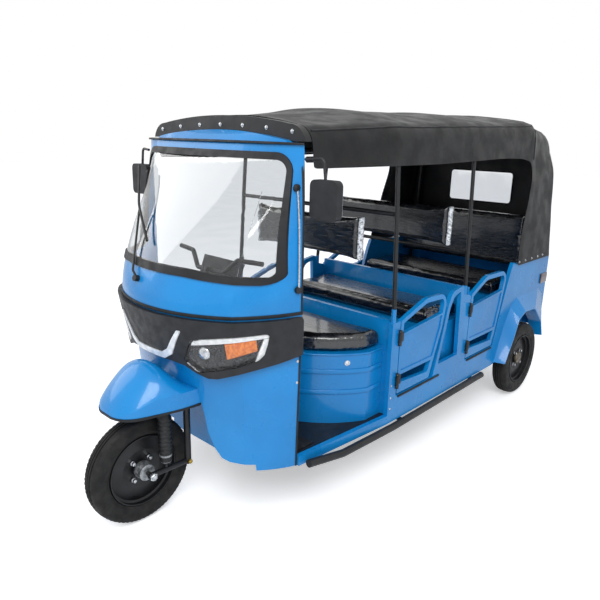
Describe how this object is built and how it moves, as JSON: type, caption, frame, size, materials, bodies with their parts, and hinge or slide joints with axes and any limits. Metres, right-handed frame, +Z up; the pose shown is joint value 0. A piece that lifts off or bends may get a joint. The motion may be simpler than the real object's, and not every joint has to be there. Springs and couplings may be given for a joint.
{
  "type": "passenger auto rickshaw",
  "caption": "Electric passenger auto rickshaw with a steered front wheel, a rounded cab, half doors, cushioned benches and a fabric canopy.",
  "frame": {"origin": "on the floor, midway along the vehicle and between its sides", "axes": "+X forward along the vehicle, +Y to the vehicle's left, +Z up"},
  "size_m": [3.355, 1.43, 1.8978],
  "materials": {
    "blue_paint": "gloss",
    "glass": "clear",
    "black_rubber": "satin",
    "black_plastic": "matte",
    "bright_trim": "bright",
    "black_steel": "satin",
    "tyre": "matte",
    "black_leatherette": "satin",
    "canopy_cloth": "matte",
    "red_lens": "gloss",
    "battery_case": "matte"
  },
  "bodies": {
    "chassis": {"cab_apron": "blue_paint", "cab_upper": "blue_paint", "front_fender": "blue_paint", "side_panels": "blue_paint", "rear_body": "blue_paint", "driver_seat_box": "blue_paint", "bulkheads": "blue_paint", "middle_bench": "blue_paint", "windshield": "glass", "rear_window": "glass", "headlight_lenses": "glass", "windshield_seal": "black_rubber", "roof_edge_strip": "black_rubber", "fascia": "black_plastic", "mirrors": "black_plastic", "wiper": "black_plastic", "headlight_housings": "black_plastic", "grille_strip": "bright_trim", "chassis_frame": "black_steel", "floor_pan": "black_steel", "canopy_rails": "black_steel", "canopy_bows": "black_steel", "backrest_bars": "black_steel", "step_bars": "black_steel", "rear_axle": "black_steel", "leaf_springs": "black_steel", "driver_cushion": "black_leatherette", "middle_cushion": "black_leatherette", "rear_cushion": "black_leatherette", "driver_backrest": "black_leatherette", "middle_backrest": "black_leatherette", "rear_backrest": "black_leatherette", "canopy_cover": "canopy_cloth", "tail_lamps": "red_lens", "battery_block": "battery_case"},
    "steering": {"fork": "black_steel", "handlebar": "black_steel", "front_shocks": "black_steel", "instrument_pod": "black_plastic"},
    "front_wheel": {"front_tyre": "tyre", "front_rim": "black_steel"},
    "rear_wheel_left": {"rear_tyre_left": "tyre", "rear_rim_left": "black_steel"},
    "rear_wheel_right": {"rear_tyre_right": "tyre", "rear_rim_right": "black_steel"},
    "front_door_left": {"front_door_left": "blue_paint"},
    "front_door_right": {"front_door_right": "blue_paint"},
    "rear_door_left": {"rear_door_left": "blue_paint"},
    "rear_door_right": {"rear_door_right": "blue_paint"}
  },
  "joints": [
    {"name": "steering", "type": "hinge", "parent": "chassis", "child": "steering", "pos_m": [1.2225, 0, 0.6], "axis": [-0.3584, 0, 0.9336], "range_deg": [-38, 38]},
    {"name": "front_wheel_roll", "type": "hinge", "parent": "steering", "child": "front_wheel", "pos_m": [1.4225, 0, 0.255], "axis": [0, 1, 0], "continuous": true},
    {"name": "rear_wheel_left_roll", "type": "hinge", "parent": "chassis", "child": "rear_wheel_left", "pos_m": [-1.2455, 0.5985, 0.255], "axis": [0, 1, 0], "continuous": true},
    {"name": "rear_wheel_right_roll", "type": "hinge", "parent": "chassis", "child": "rear_wheel_right", "pos_m": [-1.2455, -0.5985, 0.255], "axis": [0, 1, 0], "continuous": true},
    {"name": "front_door_left_hinge", "type": "hinge", "parent": "chassis", "child": "front_door_left", "pos_m": [0.2585, 0.602, 0.6], "axis": [0, 0, -1], "range_deg": [0, 85]},
    {"name": "front_door_right_hinge", "type": "hinge", "parent": "chassis", "child": "front_door_right", "pos_m": [0.2585, -0.602, 0.6], "axis": [0, 0, 1], "range_deg": [0, 85]},
    {"name": "rear_door_left_hinge", "type": "hinge", "parent": "chassis", "child": "rear_door_left", "pos_m": [-0.4855, 0.602, 0.6], "axis": [0, 0, -1], "range_deg": [0, 85]},
    {"name": "rear_door_right_hinge", "type": "hinge", "parent": "chassis", "child": "rear_door_right", "pos_m": [-0.4855, -0.602, 0.6], "axis": [0, 0, 1], "range_deg": [0, 85]}
  ]
}
